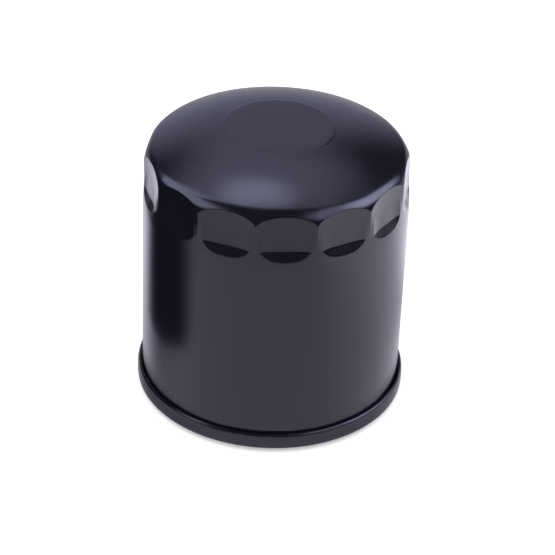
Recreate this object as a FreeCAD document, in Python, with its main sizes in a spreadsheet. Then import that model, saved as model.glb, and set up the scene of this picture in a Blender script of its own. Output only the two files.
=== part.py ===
import FreeCAD, Part
import math
import os

import Sketcher

# Spin-on oil filter. +Z runs along the filter's axis from the engine towards the domed end, and the
# origin is the centre of the outer gasket's sealing face. Sizes are in millimetres.

DRIVING_SIZES = {
    # Can
    "body_radius": 38.1,
    "steel": 0.5,
    "top_height": 84.5,
    "disc_radius": 15.3,
    "disc_step": 0.2,
    "disc_step_width": 1.2,
    "shoulder_height": 78.3,
    "shoulder_radius": 35.25,
    "dome_arc": 58.0,
    "shoulder_arc": 5.3,
    "wall_top": 73.6,
    "flute_count": 14,
    "flute_flat": 36.8,
    "flute_runout_top": 66.8,
    "flute_runout_bottom": 63.0,
    "flute_turn": -7.9,
    "flute_reach": 10.0,
    # Rolled seam
    "seam_radius": 39.5,
    "seam_bottom": 1.3,
    "seam_top": 6.2,
    "seam_corner": 0.7,
    "seam_gap": 0.1,
    "sealant": 0.2,
    "hook_rim": 0.3,
    # Seaming lid and outer gasket
    "lid_steel": 0.6,
    "groove_outer_radius": 35.4,
    "groove_inner_radius": 30.7,
    "groove_floor": 5.4,
    "lip_bottom": 3.3,
    "gasket_outer_radius": 34.85,
    "gasket_inner_radius": 30.85,
    "gasket_corner": 0.6,
    # Tapping plate
    "plate_radius": 37.2,
    "plate": 3.0,
    "collar_radius": 12.0,
    "collar_top": 17.0,
    "collar_foot": 1.0,
    "thread_minor_radius": 8.8,
    "thread_mouth_radius": 10.2,
    "inlet_count": 8,
    "inlet_radius": 2.75,
    "inlet_pitch_radius": 20.0,
    # Anti-drain-back valve
    "valve_flange_radius": 10.2,
    "valve_sleeve_radius": 14.6,
    "valve_fit": 0.05,
    "valve_flange": 1.0,
    "valve_sleeve_depth": 4.6,
    "valve_sleeve_taper": 0.4,
    "valve_neck_radius": 15.2,
    "valve_neck_depth": 2.6,
    "valve_shoulder_radius": 15.5,
    "valve_shoulder_depth": 0.8,
    "valve_lip_radius": 27.9,
    "valve_lip_rise": 1.5,
    "valve_lip_bevel": 0.5,
    "valve_lip_width": 0.9,
    "valve_lip_thickness": 0.7,
    # Element
    "cap_steel": 0.6,
    "cap_radius": 32.3,
    "cap_rim": 4.6,
    "lower_cap_hole": 10.6,
    "tube_radius": 14.6,
    "tube_steel": 0.5,
    "tube_columns": 6,
    "tube_rows": 7,
    "tube_hole_radius": 1.8,
    "element_top": 66.7,
    "potting": 2.0,
    "media_outer_radius": 30.9,
    "media_inner_radius": 15.2,
    "paper": 0.6,
    "pleats": 44,
    "fold_half_width": 0.75,
    "flap_gap": 0.16,
    "clip_steel": 0.4,
    "clip_depth": 4.5,
    "clip_turn": 77.0,
    "clip_side_gap": 0.2,
    "clip_back_gap": 0.05,
    # Bypass valve
    "housing_radius": 11.9,
    "housing_steel": 0.5,
    "housing_flange_radius": 16.5,
    "housing_fit": 0.1,
    "housing_floor": 52.7,
    "window_bottom": 54.7,
    "window_top": 61.7,
    "window_width": 9.0,
    "window_count": 4,
    "seat": 0.8,
    "seat_hole": 6.2,
    "seal": 1.0,
    "seal_radius": 8.8,
    "disc": 0.8,
    "disc_edge_radius": 9.4,
    "stem_radius": 1.6,
    "stem_fit": 0.1,
    "stem_head_radius": 3.2,
    "stem_head": 0.8,
    "stem_bottom": 50.2,
    "bypass_coil_radius": 5.2,
    "bypass_wire_radius": 0.55,
    # Element spring
    "element_coil_radius": 12.6,
    "element_wire_radius": 0.95,
}

# Turns of each coil spring, its closed end turns included.
BYPASS_SPRING_TURNS = 6
ELEMENT_SPRING_TURNS = 5
# A closed end turn rises by this many wire diameters, so neighbouring turns stay apart.
CLOSED_TURN_RISE = 1.06
# The centre line starts and ends this share of the wire's radius inside the ground faces.
GROUND_END = 0.35
# Points along each turn of a spring's centre line.
POINTS_PER_TURN = 12


class Length:
    """A length that knows both its value in millimetres and the sheet formula it comes from."""

    def __init__(self, value, formula):
        self.value = value
        self.formula = formula

    @staticmethod
    def of(item):
        if isinstance(item, Length):
            return item
        return Length(float(item), f"{float(item)}")

    def joined(self, sign, other, value):
        return Length(value, f"({self.formula} {sign} {other.formula})")

    def __add__(self, other):
        other = Length.of(other)
        return self.joined("+", other, self.value + other.value)

    def __sub__(self, other):
        other = Length.of(other)
        return self.joined("-", other, self.value - other.value)

    def __mul__(self, other):
        other = Length.of(other)
        return self.joined("*", other, self.value * other.value)

    def __truediv__(self, other):
        other = Length.of(other)
        return self.joined("/", other, self.value / other.value)


class Sizes:
    """The sheet's cells, each read as an attribute that gives a Length."""

    def __getattr__(self, alias):
        return Length(DRIVING_SIZES[alias], f"Sheet.{alias}")


doc = FreeCAD.newDocument("OilFilter")
sheet = doc.addObject("Spreadsheet::Sheet", "Sheet")
for row, (alias, value) in enumerate(DRIVING_SIZES.items(), start=1):
    sheet.set(f"A{row}", alias)
    sheet.set(f"B{row}", str(value))
    sheet.setAlias(f"B{row}", alias)
doc.recompute()

size = Sizes()
pieces = []


# ---------------------------------------------------------------- sketch helpers


def new_body(label):
    body = doc.addObject("PartDesign::Body", label)
    body.Label = label
    return body


def origin_feature(body, role):
    for feature in body.Origin.OriginFeatures:
        if feature.Role == role:
            return feature
    raise ValueError(f"{body.Label} has no {role}")


def new_sketch(body, plane, name):
    sketch = body.newObject("Sketcher::SketchObject", name)
    sketch.AttachmentSupport = (origin_feature(body, plane), [""])
    sketch.MapMode = "FlatFace"
    return sketch


def bind(sketch, constraint, length):
    """Add a dimension to the sketch and tie it to the sheet."""
    index = sketch.addConstraint(constraint)
    sketch.setExpression(f"Constraints[{index}]", length.formula)


def place_point(sketch, edge, end, across, up):
    """Hold one point of the sketch at a distance across and up from the sketch's origin."""
    for kind, axis, length in (("DistanceX", -2, across), ("DistanceY", -1, up)):
        if length.value == 0:
            sketch.addConstraint(Sketcher.Constraint("PointOnObject", edge, end, axis))
        else:
            bind(sketch, Sketcher.Constraint(kind, -1, 1, edge, end, length.value), length)


def arc_centre(start, finish, radius):
    """Centre of the arc between two points, on the left of the way from start to finish."""
    middle = (start + finish) * 0.5
    chord = finish - start
    left = FreeCAD.Vector(-chord.y, chord.x, 0).normalize()
    rise = math.sqrt(radius * radius - chord.Length * chord.Length / 4)
    return middle + left * rise


def angle_of(centre, point):
    return math.atan2(point.y - centre.y, point.x - centre.x)


def closed_outline(sketch, corners):
    """Draw a closed outline. A corner is (across, up); a third item is the radius of the arc that leads
    to the next corner, positive where it turns anticlockwise and negative where it turns clockwise."""
    corners = [tuple(Length.of(item) for item in corner) for corner in corners]
    spots = [FreeCAD.Vector(corner[0].value, corner[1].value, 0) for corner in corners]
    edges = []
    for number, corner in enumerate(corners):
        start = spots[number]
        finish = spots[(number + 1) % len(spots)]
        if len(corner) == 2:
            edge = sketch.addGeometry(Part.LineSegment(start, finish), False)
            edges.append((edge, 1, 2))
            continue
        bend = corner[2]
        if bend.value > 0:
            centre = arc_centre(start, finish, bend.value)
            ends = (angle_of(centre, start), angle_of(centre, finish))
            order = (1, 2)
        else:
            centre = arc_centre(finish, start, -bend.value)
            ends = (angle_of(centre, finish), angle_of(centre, start))
            order = (2, 1)
        circle = Part.Circle(centre, FreeCAD.Vector(0, 0, 1), abs(bend.value))
        edge = sketch.addGeometry(Part.ArcOfCircle(circle, *ends), False)
        edges.append((edge, *order))
    for number, corner in enumerate(corners):
        edge, first, _ = edges[number]
        before, _, last = edges[number - 1]
        sketch.addConstraint(Sketcher.Constraint("Coincident", before, last, edge, first))
        place_point(sketch, edge, first, corner[0], corner[1])
    for number, corner in enumerate(corners):
        if len(corner) == 3:
            radius = corner[2] if corner[2].value > 0 else Length.of(0) - corner[2]
            bind(sketch, Sketcher.Constraint("Radius", edges[number][0], radius.value), radius)


def circle_at(sketch, across, up, radius):
    across, up = Length.of(across), Length.of(up)
    centre = FreeCAD.Vector(across.value, up.value, 0)
    edge = sketch.addGeometry(Part.Circle(centre, FreeCAD.Vector(0, 0, 1), radius.value), False)
    place_point(sketch, edge, 3, across, up)
    bind(sketch, Sketcher.Constraint("Radius", edge, radius.value), radius)


# ---------------------------------------------------------------- feature helpers


def revolve(body, corners, name="Section"):
    """Turn a section drawn in the XZ plane, radius across and height up, once round the Z axis."""
    sketch = new_sketch(body, "XZ_Plane", name)
    closed_outline(sketch, corners)
    turned = body.newObject("PartDesign::Revolution", f"{name}Turned")
    turned.Profile = sketch
    turned.ReferenceAxis = (sketch, ["V_Axis"])
    turned.Angle = 360
    doc.recompute()
    return turned


def finish_piece(piece):
    pieces.append(piece)
    return piece


def turned_piece(label, corners):
    body = new_body(label)
    revolve(body, corners)
    return finish_piece(body)


def cut_through(body, sketch, midplane=False):
    """Cut the sketch through the body, and make sure that it removed something."""
    before = body.Shape.Volume
    pocket = body.newObject("PartDesign::Pocket", f"{sketch.Name}Cut")
    pocket.Profile = sketch
    pocket.Type = "ThroughAll"
    pocket.Midplane = midplane
    doc.recompute()
    if body.Shape.Volume > before - 1:
        raise ValueError(f"{sketch.Name} cuts nothing from {body.Label}")
    return pocket


def repeat_round(body, feature, count):
    pattern = body.newObject("PartDesign::PolarPattern", f"{feature.Name}Round")
    pattern.Originals = [feature]
    pattern.Axis = (origin_feature(body, "Z_Axis"), [""])
    pattern.Angle = 360
    pattern.Occurrences = round(count.value)
    pattern.setExpression("Occurrences", count.formula)
    body.Tip = pattern
    doc.recompute()
    return pattern


def turn_to(piece, degrees):
    """Turn a piece about the Z axis, by an angle held in the sheet."""
    piece.Placement = FreeCAD.Placement(
        FreeCAD.Vector(0, 0, 0), FreeCAD.Rotation(FreeCAD.Vector(0, 0, 1), degrees.value)
    )
    piece.setExpression("Placement.Rotation.Angle", degrees.formula)


# ---------------------------------------------------------------- can


def can_form(label, inset, bottom):
    """The can's outer form, or the form of its hollow when inset is the steel's thickness: a flat raised
    disc, a crowned dome, a rounded shoulder, and a straight wall whose top carries the flats for a
    wrench."""
    body = new_body(label)
    crown = size.top_height - inset
    corners = [
        (0, bottom),
        (size.body_radius - inset, bottom),
        (size.body_radius - inset, size.wall_top, size.shoulder_arc),
        (size.shoulder_radius - inset / 2, size.shoulder_height - inset, size.dome_arc),
        (size.disc_radius + size.disc_step_width, crown - size.disc_step),
        (size.disc_radius, crown),
        (0, crown),
    ]
    revolve(body, corners)
    flute = new_sketch(body, "XZ_Plane", f"{label}Flute")
    outside = size.body_radius + size.flute_reach
    closed_outline(flute, [
        (size.flute_flat - inset, size.flute_runout_top),
        (size.body_radius - inset, size.flute_runout_bottom),
        (outside, size.flute_runout_bottom),
        (outside, size.top_height),
        (size.flute_flat - inset, size.top_height),
    ])
    cut = cut_through(body, flute, midplane=True)
    repeat_round(body, cut, size.flute_count)
    return body


def make_can():
    wall_bottom = size.seam_bottom + size.lid_steel + size.sealant
    outer = can_form("can_outside", Length.of(0), wall_bottom)
    inner = can_form("can_hollow", size.steel, size.seam_bottom)
    shell = doc.addObject("Part::Cut", "can_shell")
    shell.Base = outer
    shell.Tool = inner
    # The flange turns outwards and back up, inside the roll of the seaming lid.
    hook = new_body("can_hook")
    inner_wall = size.body_radius - size.steel
    hook_outside = size.seam_radius - size.lid_steel - size.seam_gap
    hook_top = size.seam_top - size.lid_steel - size.seam_gap * 2
    revolve(hook, [
        (inner_wall, wall_bottom),
        (hook_outside, wall_bottom),
        (hook_outside, hook_top),
        (hook_outside - size.hook_rim, hook_top),
        (hook_outside - size.hook_rim, wall_bottom + size.steel),
        (inner_wall, wall_bottom + size.steel),
    ])
    can = doc.addObject("Part::MultiFuse", "can")
    can.Label = "can"
    can.Shapes = [shell, hook]
    turn_to(can, size.flute_turn)
    return finish_piece(can)


# ---------------------------------------------------------------- closed end of the housing


def make_seaming_lid():
    """A ring of sheet steel. Its outer edge rolls round the can's flange, and it dips in between to
    leave the groove that holds the outer gasket."""
    floor_top = size.groove_floor + size.lid_steel
    inner_lip = size.groove_inner_radius - size.lid_steel
    roll_inside = size.seam_radius - size.lid_steel
    under = size.seam_bottom
    corner = size.seam_corner
    wall_foot = size.body_radius - size.steel * 2
    turned_piece("seaming_lid", [
        (inner_lip, size.lip_bottom),
        (size.groove_inner_radius, size.lip_bottom),
        (size.groove_inner_radius, size.groove_floor),
        (size.groove_outer_radius, size.groove_floor),
        (wall_foot - corner, under + corner, corner),
        (wall_foot, under),
        (size.seam_radius - corner, under, corner),
        (size.seam_radius, under + corner),
        (size.seam_radius, size.seam_top - corner, corner),
        (size.seam_radius - corner, size.seam_top),
        (size.body_radius + size.seam_gap / 2, size.seam_top),
        (size.body_radius + size.seam_gap / 2, size.seam_top - size.lid_steel),
        (roll_inside, size.seam_top - size.lid_steel),
        (roll_inside, under + size.lid_steel),
        (wall_foot + size.lid_steel / 3, under + size.lid_steel),
        (size.groove_outer_radius + size.lid_steel, floor_top),
        (inner_lip, floor_top),
    ])


def make_seam_sealant():
    """The ring of sealing compound between the can's flange and the lid."""
    bottom = size.seam_bottom + size.lid_steel
    turned_piece("seam_sealant", [
        (size.body_radius - size.steel, bottom),
        (size.seam_radius - size.lid_steel - size.seam_gap, bottom),
        (size.seam_radius - size.lid_steel - size.seam_gap, bottom + size.sealant),
        (size.body_radius - size.steel, bottom + size.sealant),
    ])


def make_outer_gasket():
    corner = size.gasket_corner
    turned_piece("outer_gasket", [
        (size.gasket_inner_radius + corner, 0),
        (size.gasket_outer_radius - corner, 0, corner),
        (size.gasket_outer_radius, corner),
        (size.gasket_outer_radius, size.groove_floor),
        (size.gasket_inner_radius, size.groove_floor),
        (size.gasket_inner_radius, corner, corner),
    ])


def make_tapping_plate():
    """A thick disc with a collar drawn up round its centre, threaded for the engine's nipple, and a
    ring of holes that let the oil in."""
    bottom = size.groove_floor + size.lid_steel
    top = bottom + size.plate
    funnel = size.thread_mouth_radius - size.thread_minor_radius
    body = new_body("tapping_plate")
    revolve(body, [
        (size.thread_mouth_radius, bottom),
        (size.plate_radius, bottom),
        (size.plate_radius, top),
        (size.collar_radius + size.collar_foot, top),
        (size.collar_radius, top + size.collar_foot),
        (size.collar_radius, size.collar_top),
        (size.thread_minor_radius, size.collar_top),
        (size.thread_minor_radius, bottom + funnel),
    ])
    inlet = new_sketch(body, "XY_Plane", "Inlet")
    circle_at(inlet, size.inlet_pitch_radius, 0, size.inlet_radius)
    cut = cut_through(body, inlet, midplane=True)
    repeat_round(body, cut, size.inlet_count)
    return finish_piece(body)


def make_anti_drain_valve():
    """A rubber diaphragm. Its flange is clamped on top of the collar, and its thin cone hangs down and
    out so that its lip closes the plate outside the ring of inlet holes."""
    plate_top = size.groove_floor + size.lid_steel + size.plate
    sleeve_inside = size.collar_radius + size.valve_fit
    sleeve_bottom = size.collar_top - size.valve_sleeve_depth
    lip_inside = size.valve_lip_radius - size.valve_lip_width
    flange_top = size.collar_top + size.valve_flange
    turned_piece("anti_drain_valve", [
        (size.valve_flange_radius, size.collar_top),
        (sleeve_inside, size.collar_top),
        (sleeve_inside, sleeve_bottom),
        (size.valve_sleeve_radius - size.valve_sleeve_taper, sleeve_bottom),
        (size.valve_neck_radius, size.collar_top - size.valve_neck_depth),
        (lip_inside - size.valve_lip_width, plate_top + size.valve_lip_thickness),
        (lip_inside, plate_top),
        (size.valve_lip_radius, plate_top),
        (size.valve_lip_radius - size.valve_lip_bevel, plate_top + size.valve_lip_rise),
        (size.valve_shoulder_radius, size.collar_top - size.valve_shoulder_depth),
        (size.valve_sleeve_radius, flange_top),
        (size.valve_flange_radius, flange_top),
    ])


# ---------------------------------------------------------------- filter element


def element_bottom():
    return size.collar_top + size.valve_flange


def media_bottom():
    return element_bottom() + size.cap_steel + size.potting


def media_top():
    return size.element_top - size.cap_steel - size.potting


def make_end_caps():
    """Two stamped steel pans, rims facing each other, that close the ends of the pleated paper."""
    bottom = element_bottom()
    inside = size.cap_radius - size.cap_steel
    turned_piece("lower_end_cap", [
        (size.lower_cap_hole, bottom),
        (size.cap_radius, bottom),
        (size.cap_radius, bottom + size.cap_rim),
        (inside, bottom + size.cap_rim),
        (inside, bottom + size.cap_steel),
        (size.lower_cap_hole, bottom + size.cap_steel),
    ])
    top = size.element_top
    hole = size.housing_radius + size.housing_fit
    turned_piece("upper_end_cap", [
        (hole, top - size.cap_steel),
        (inside, top - size.cap_steel),
        (inside, top - size.cap_rim),
        (size.cap_radius, top - size.cap_rim),
        (size.cap_radius, top),
        (hole, top),
    ])


def make_potting():
    """Rings of plastisol that glue the paper and the centre tube into the end caps."""
    inside = size.tube_radius
    outside = size.cap_radius - size.cap_steel
    lower = element_bottom() + size.cap_steel
    for label, bottom in (("lower_potting", lower), ("upper_potting", media_top())):
        turned_piece(label, [
            (inside, bottom),
            (outside, bottom),
            (outside, bottom + size.potting),
            (inside, bottom + size.potting),
        ])


def make_centre_tube():
    """The perforated steel tube that holds the paper out against the oil's pressure."""
    bottom = element_bottom() + size.cap_steel
    top = size.element_top - size.cap_steel
    body = new_body("centre_tube")
    revolve(body, [
        (size.tube_radius - size.tube_steel, bottom),
        (size.tube_radius, bottom),
        (size.tube_radius, top),
        (size.tube_radius - size.tube_steel, top),
    ])
    # Two sets of columns stand between each other, with their holes staggered by half a step.
    step = (media_top() - media_bottom()) / (size.tube_rows + 1)
    for plane, name, share in (("XZ_Plane", "EvenHoles", 0.75), ("YZ_Plane", "OddHoles", 1.25)):
        sketch = new_sketch(body, plane, name)
        for row in range(round(size.tube_rows.value)):
            circle_at(sketch, 0, media_bottom() + step * (row + share), size.tube_hole_radius)
        cut = cut_through(body, sketch)
        repeat_round(body, cut, size.tube_columns)
    return finish_piece(body)


def offset_line(points, distance):
    """The open line of points moved sideways by a distance, with mitred corners."""
    moved = []
    for number, point in enumerate(points):
        before = points[max(number - 1, 0)]
        after = points[min(number + 1, len(points) - 1)]
        ways = []
        for start, finish in ((before, point), (point, after)):
            if (finish - start).Length > 0:
                way = (finish - start).normalize()
                ways.append(FreeCAD.Vector(-way.y, way.x, 0))
        mitre = (ways[0] + ways[-1]).normalize()
        moved.append(point + mitre * (distance / mitre.dot(ways[0])))
    return moved


def pleat_line():
    """The centre line of the pleated paper seen from above, from one end flap round to the other. The
    flaps lie side by side on the X axis, where the clip holds them."""
    count = round(size.pleats.value)
    step = 2 * math.pi / count
    half_paper = size.paper.value / 2
    outer = size.media_outer_radius.value - half_paper
    inner = size.media_inner_radius.value + half_paper
    flap = half_paper + size.flap_gap.value / 2
    widths = {outer: size.fold_half_width.value, inner: inner * step / 4}
    line = [FreeCAD.Vector(outer, flap, 0)]
    for fold in range(1, 2 * count):
        radius = inner if fold % 2 else outer
        angle = fold * step / 2
        out = FreeCAD.Vector(math.cos(angle), math.sin(angle), 0)
        along = FreeCAD.Vector(-math.sin(angle), math.cos(angle), 0)
        line.append(out * radius - along * widths[radius])
        line.append(out * radius + along * widths[radius])
    line.append(FreeCAD.Vector(outer, -flap, 0))
    return line


def make_filter_media():
    """Pleated paper: one folded strip of even thickness, standing between the two pottings."""
    line = pleat_line()
    half_paper = size.paper.value / 2
    outline = offset_line(line, half_paper) + offset_line(line, -half_paper)[::-1]
    face = Part.Face(Part.makePolygon(outline + outline[:1]))
    height = media_top().value - media_bottom().value
    media = doc.addObject("Part::Feature", "filter_media")
    media.Label = "filter_media"
    media.Shape = face.extrude(FreeCAD.Vector(0, 0, height))
    media.Placement = FreeCAD.Placement(
        FreeCAD.Vector(0, 0, media_bottom().value),
        FreeCAD.Rotation(FreeCAD.Vector(0, 0, 1), size.clip_turn.value),
    )
    return finish_piece(media)


def make_media_clip():
    """A strip of steel bent into a channel, crimped over the two end flaps of the paper."""
    inside = size.paper + size.clip_side_gap
    mouth = size.media_outer_radius - size.clip_depth
    back = size.media_outer_radius + size.clip_back_gap
    body = new_body("media_clip")
    sketch = new_sketch(body, "XY_Plane", "Channel")
    edge = inside + size.clip_steel
    zero = Length.of(0)
    closed_outline(sketch, [
        (mouth, zero - edge),
        (back + size.clip_steel, zero - edge),
        (back + size.clip_steel, edge),
        (mouth, edge),
        (mouth, inside),
        (back, inside),
        (back, zero - inside),
        (mouth, zero - inside),
    ])
    strip = body.newObject("PartDesign::Pad", "Strip")
    strip.Profile = sketch
    height = media_top() - media_bottom()
    strip.Length = height.value
    strip.setExpression("Length", height.formula)
    doc.recompute()
    body.Placement = FreeCAD.Placement(
        FreeCAD.Vector(0, 0, media_bottom().value),
        FreeCAD.Rotation(FreeCAD.Vector(0, 0, 1), size.clip_turn.value),
    )
    body.setExpression("Placement.Base.z", media_bottom().formula)
    body.setExpression("Placement.Rotation.Angle", size.clip_turn.formula)
    return finish_piece(body)


# ---------------------------------------------------------------- bypass valve and springs


def make_bypass_housing():
    """A flanged steel cup that hangs in the centre tube. Its floor carries the spring and guides the
    stem, and windows in its side let the oil out."""
    top = size.element_top + size.housing_steel
    bottom = size.housing_floor
    bore = size.housing_radius - size.housing_steel
    guide = size.stem_radius + size.stem_fit
    body = new_body("bypass_housing")
    revolve(body, [
        (guide, bottom),
        (size.housing_radius, bottom),
        (size.housing_radius, size.element_top),
        (size.housing_flange_radius, size.element_top),
        (size.housing_flange_radius, top),
        (bore, top),
        (bore, bottom + size.housing_steel),
        (guide, bottom + size.housing_steel),
    ])
    half_width = size.window_width / 2
    zero = Length.of(0)
    window = new_sketch(body, "XZ_Plane", "Window")
    closed_outline(window, [
        (zero - half_width, size.window_bottom),
        (half_width, size.window_bottom),
        (half_width, size.window_top),
        (zero - half_width, size.window_top),
    ])
    cut = cut_through(body, window)
    repeat_round(body, cut, size.window_count)
    return finish_piece(body)


def make_bypass_seat():
    """The steel ring on top of the housing. A short lip round its hole bites into the rubber seal."""
    bottom = size.element_top + size.housing_steel
    turned_piece("bypass_seat", [
        (size.seat_hole, size.element_top),
        (size.seat_hole + size.housing_steel, size.element_top),
        (size.seat_hole + size.housing_steel, bottom),
        (size.housing_flange_radius, bottom),
        (size.housing_flange_radius, bottom + size.seat),
        (size.seat_hole, bottom + size.seat),
    ])


def make_bypass_poppet():
    """The moving valve: a rubber seal backed by a steel disc, both held on a headed stem."""
    seal_bottom = size.element_top - size.seal
    disc_bottom = seal_bottom - size.disc
    turned_piece("bypass_seal", [
        (size.stem_radius, seal_bottom),
        (size.seal_radius, seal_bottom),
        (size.seal_radius, size.element_top),
        (size.stem_radius, size.element_top),
    ])
    turned_piece("bypass_disc", [
        (size.stem_radius, disc_bottom),
        (size.disc_edge_radius, disc_bottom),
        (size.disc_edge_radius, seal_bottom),
        (size.stem_radius, seal_bottom),
    ])
    head_top = size.element_top + size.stem_head
    turned_piece("bypass_stem", [
        (0, size.stem_bottom),
        (size.stem_radius, size.stem_bottom),
        (size.stem_radius, size.element_top),
        (size.stem_head_radius, size.element_top),
        (size.stem_head_radius, head_top),
        (0, head_top),
    ])


def spring_line(coil_radius, wire_radius, bottom, top, turns):
    """Points on a coil's centre line. The first and last turns lie closed, and the ones between share
    the remaining height."""
    closed_rise = 2 * wire_radius * CLOSED_TURN_RISE
    low = bottom + wire_radius * GROUND_END
    high = top - wire_radius * GROUND_END
    open_rise = (high - low - 2 * closed_rise) / (turns - 2)
    points = []
    for count in range(turns * POINTS_PER_TURN + 1):
        turn = count / POINTS_PER_TURN
        height = low + closed_rise * min(turn, 1)
        height += open_rise * min(max(turn - 1, 0), turns - 2)
        height += closed_rise * max(turn - (turns - 1), 0)
        angle = 2 * math.pi * turn
        points.append(FreeCAD.Vector(coil_radius * math.cos(angle), coil_radius * math.sin(angle), height))
    return points


def make_spring(label, coil_radius, wire_radius, bottom, top, turns):
    """A round-wire compression spring whose two ends are ground flat."""
    curve = Part.BSplineCurve()
    points = spring_line(coil_radius.value, wire_radius.value, bottom.value, top.value, turns)
    curve.interpolate(points)
    way = curve.tangent(curve.FirstParameter)[0]
    section = Part.Wire(Part.Circle(points[0], way, wire_radius.value).toShape())
    coil = Part.Wire(curve.toShape()).makePipeShell([section], True, True)
    outside = coil_radius.value + 2 * wire_radius.value
    slab = Part.makeCylinder(outside, top.value - bottom.value, FreeCAD.Vector(0, 0, bottom.value))
    spring = doc.addObject("Part::Feature", label)
    spring.Label = label
    spring.Shape = coil.common(slab)
    spring.Placement = FreeCAD.Placement()
    return finish_piece(spring)


def make_springs():
    make_spring(
        "bypass_spring",
        size.bypass_coil_radius,
        size.bypass_wire_radius,
        size.housing_floor + size.housing_steel,
        size.element_top - size.seal - size.disc,
        BYPASS_SPRING_TURNS,
    )
    make_spring(
        "element_spring",
        size.element_coil_radius,
        size.element_wire_radius,
        size.element_top + size.housing_steel + size.seat,
        size.top_height - size.steel,
        ELEMENT_SPRING_TURNS,
    )


# ---------------------------------------------------------------- build, check and write


def check_document():
    for item in doc.Objects:
        if "Invalid" in item.State or "Error" in item.State:
            raise ValueError(f"{item.Label} failed: {item.State}")
    for piece in pieces:
        if piece.Shape.isNull() or not piece.Shape.isValid():
            raise ValueError(f"{piece.Label} has no valid shape")
        if len(piece.Shape.Solids) != 1:
            raise ValueError(f"{piece.Label} has {len(piece.Shape.Solids)} solids")


def write_pieces():
    os.makedirs("parts", exist_ok=True)
    for piece in pieces:
        piece.Shape.exportStep(os.path.join("parts", f"{piece.Label}.step"))


make_can()
make_seaming_lid()
make_seam_sealant()
make_outer_gasket()
make_tapping_plate()
make_anti_drain_valve()
make_end_caps()
make_potting()
make_centre_tube()
make_filter_media()
make_media_clip()
make_bypass_housing()
make_bypass_seat()
make_bypass_poppet()
make_springs()
doc.recompute()
check_document()
write_pieces()
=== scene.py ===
"""Looks of a spin-on oil filter: a domed black can with fourteen wrench flutes, closed by a threaded
plate and a gasket, with its valves and its pleated element inside. Meshes are drawn in millimetres."""

import math

import bpy
import numpy as np
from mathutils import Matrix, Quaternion, Vector


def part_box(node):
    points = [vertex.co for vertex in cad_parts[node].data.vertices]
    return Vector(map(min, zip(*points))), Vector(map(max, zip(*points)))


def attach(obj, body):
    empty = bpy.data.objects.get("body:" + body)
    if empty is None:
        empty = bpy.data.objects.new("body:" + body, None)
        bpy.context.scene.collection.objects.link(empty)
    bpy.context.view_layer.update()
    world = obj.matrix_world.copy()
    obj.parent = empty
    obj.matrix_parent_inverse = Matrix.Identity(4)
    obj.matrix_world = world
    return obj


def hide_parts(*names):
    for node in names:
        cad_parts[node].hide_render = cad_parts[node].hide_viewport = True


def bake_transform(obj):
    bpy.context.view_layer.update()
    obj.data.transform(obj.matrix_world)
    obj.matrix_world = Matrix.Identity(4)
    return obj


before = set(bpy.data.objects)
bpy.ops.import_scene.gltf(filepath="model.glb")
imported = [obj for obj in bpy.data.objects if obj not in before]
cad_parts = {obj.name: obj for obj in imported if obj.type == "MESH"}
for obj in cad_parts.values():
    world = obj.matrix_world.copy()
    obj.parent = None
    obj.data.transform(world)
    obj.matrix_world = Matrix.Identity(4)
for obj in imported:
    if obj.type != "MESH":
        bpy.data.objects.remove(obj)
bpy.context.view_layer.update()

MM = 0.001
TURN = 2 * math.pi


def node_box(node):
    """Lowest and highest corner of a CAD node, in millimetres."""
    low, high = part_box(node)
    return np.array(low) / MM, np.array(high) / MM


def node_radius(node):
    return float(node_box(node)[1][:2].max())


def node_bottom(node):
    return float(node_box(node)[0][2])


def node_top(node):
    return float(node_box(node)[1][2])


# ---------------------------------------------------------------- sizes, in millimetres

CAN_TOP = node_top("can")
CAN_BOTTOM = node_bottom("can")
STEEL = 0.5
BODY_RADIUS = 38.1
RIDGE_RADIUS = 37.8
TAPER = (CAN_TOP - 22.9, CAN_TOP - 18.3)
WALL_TOP = CAN_TOP - 10.9
SHOULDER_ARC = 5.3
SHOULDER = (35.25, CAN_TOP - 6.2)
DOME_ARC = 58.0
DISC_RADIUS = 15.3
DISC_STEP = 0.2
DISC_STEP_WIDTH = 1.2

FLUTES = 14
FLUTE_TURN = math.radians(-7.9)
FLUTE_FLAT = 36.85
FLUTE_HOLLOW = 0.35
FLUTE_RUNOUT = (CAN_TOP - 21.4, CAN_TOP - 18.3)
# Over this height a flat leans out beside its ridges. Its run-out takes up this share of its
# width and is this deep in the middle.
FLUTE_LEAN = 6.0
RUNOUT_SHARE = 0.80
RUNOUT_DEPTH = 0.95
RUNOUT_LIP = 0.15
RIDGE_ROUNDING = 0.10
FLUTE_COLUMNS = 48
COLUMN_CROWDING = 0.7

SEAM_RADIUS = node_radius("seaming_lid")
SEAM_BOTTOM = node_bottom("seaming_lid")
SEAM_TOP = node_top("seaming_lid")
LID_STEEL = 0.6
SEAM_CREST = SEAM_RADIUS - 0.75
SEAM_FACE_TOP = SEAM_TOP - 1.7
HOOK_GAP = 0.1
HOOK_DROP = 1.4
HOOK_RIM = 0.3
LID_SEGMENTS = 360
# Amplitude, waves per turn and phase of the rolled edge's unevenness.
SEAM_WAVES = ((0.05, 9, 0.6), (0.035, 23, 2.1), (0.02, 41, 0.0))
SEAM_WEAR = 0.1
GROOVE_FLOOR = node_top("outer_gasket")
GROOVE_RADII = (30.7, 35.4)
GROOVE_LIP = 2.0
GASKET_RADII = (30.85, 34.85)
GASKET_CORNERS = [0.55, 0.55, 0.2, 0.2]

PLATE_RADIUS = node_radius("tapping_plate")
PLATE_BOTTOM = node_bottom("tapping_plate")
PLATE = 3.0
COLLAR_TOP = node_top("tapping_plate")
COLLAR_RADIUS = 12.0
THREAD_MINOR = 8.8
THREAD_MAJOR = 9.525
THREAD_PITCH = 25.4 / 16
THREAD_MOUTH = 10.2
THREAD_STEPS = 72
INLETS = 8
INLET_RADIUS = 2.75
INLET_PITCH_RADIUS = 20.0

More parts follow.
